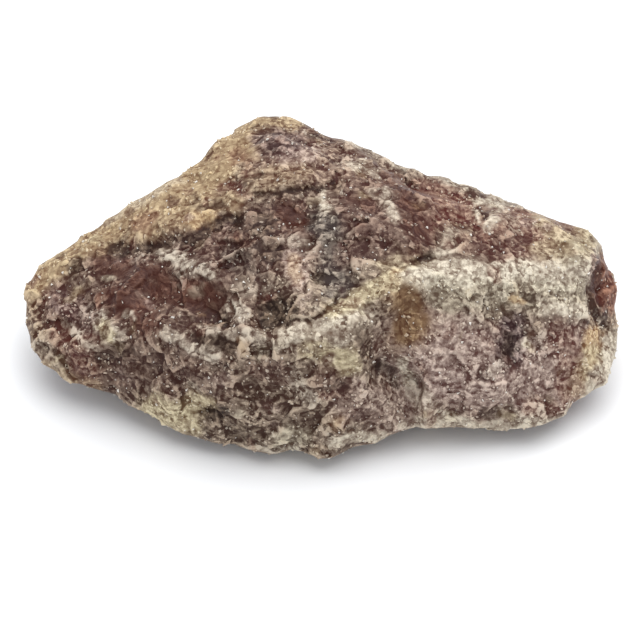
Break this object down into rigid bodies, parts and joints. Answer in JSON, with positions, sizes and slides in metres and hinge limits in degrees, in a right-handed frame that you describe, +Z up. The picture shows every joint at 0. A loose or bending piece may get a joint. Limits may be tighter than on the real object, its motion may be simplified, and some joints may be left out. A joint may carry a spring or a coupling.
{
  "type": "raw aventurine",
  "caption": "Raw, broken piece of reddish brown aventurine that lies on a flat break, as a mineral specimen or a decorative stone.",
  "frame": {"origin": "middle of the stone's box, on the table that it lies on", "axes": "+X along the stone towards its blunt end, +Y towards its hidden back, +Z up"},
  "size_m": [0.08, 0.048, 0.0263],
  "materials": {
    "aventurine": "rough broken quartz, mauve-grey and reddish brown with pale veins, a tan rind and fine sparkles"
  },
  "bodies": {
    "root": {"aventurine": "aventurine"}
  },
  "joints": []
}
